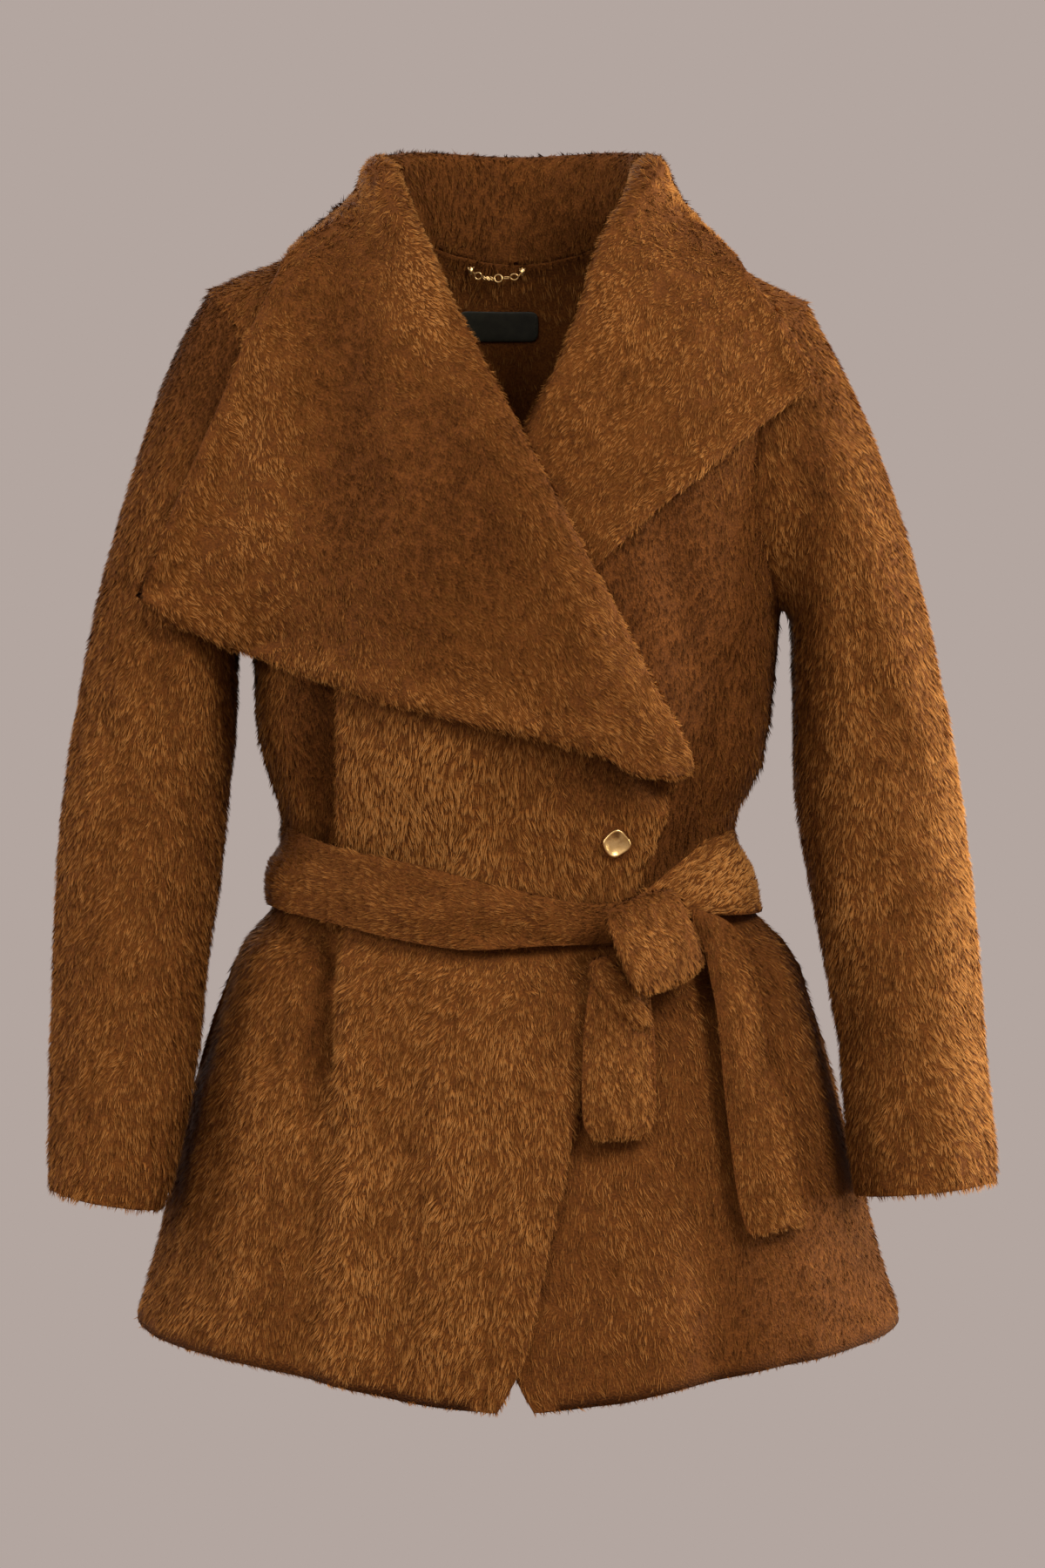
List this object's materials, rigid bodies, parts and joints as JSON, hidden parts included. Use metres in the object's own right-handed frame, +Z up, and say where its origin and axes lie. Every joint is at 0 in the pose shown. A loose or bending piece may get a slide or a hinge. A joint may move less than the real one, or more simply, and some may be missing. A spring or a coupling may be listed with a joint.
{
  "type": "wool wrap coat",
  "caption": "Short coat in long-pile wool cloth with wrapped fronts, a wide turned-out collar, long sleeves and a tied belt, in its worn, hollow form.",
  "frame": {"origin": "middle of the neck base, level with the inner ends of the shoulder seams, where the wearer's shoulders hold the coat", "axes": "+Z up, the front faces -Y, +X is the wearer's left"},
  "size_m": [0.638, 0.336, 0.8384],
  "materials": {
    "wool_cloth": "long brushed pile, caramel brown",
    "label_satin": "woven satin, black",
    "gold_metal": "polished, pale gold"
  },
  "bodies": {
    "coat": {"back": "wool_cloth", "front_left": "wool_cloth", "front_right": "wool_cloth", "sleeve_left": "wool_cloth", "sleeve_right": "wool_cloth", "lapel_left": "wool_cloth", "lapel_right": "wool_cloth", "collar": "wool_cloth", "belt": "wool_cloth", "belt_end_short": "wool_cloth", "belt_end_long": "wool_cloth", "belt_knot": "wool_cloth", "button": "gold_metal", "neck_label": "label_satin", "chain_stud_right": "gold_metal", "chain_stud_left": "gold_metal"},
    "hanger_chain": {"chain_ring_a": "gold_metal", "chain_small_a": "gold_metal", "chain_small_b": "gold_metal", "chain_small_c": "gold_metal", "chain_ring_b": "gold_metal", "chain_bar": "gold_metal", "chain_oval": "gold_metal"}
  },
  "joints": [
    {"name": "hanger_chain_swing", "type": "hinge", "parent": "coat", "child": "hanger_chain", "pos_m": [-0.0307, 0.07142, -0.0275], "axis": [-0.9778, -0.2095, 0], "range_deg": [0, 120]}
  ]
}
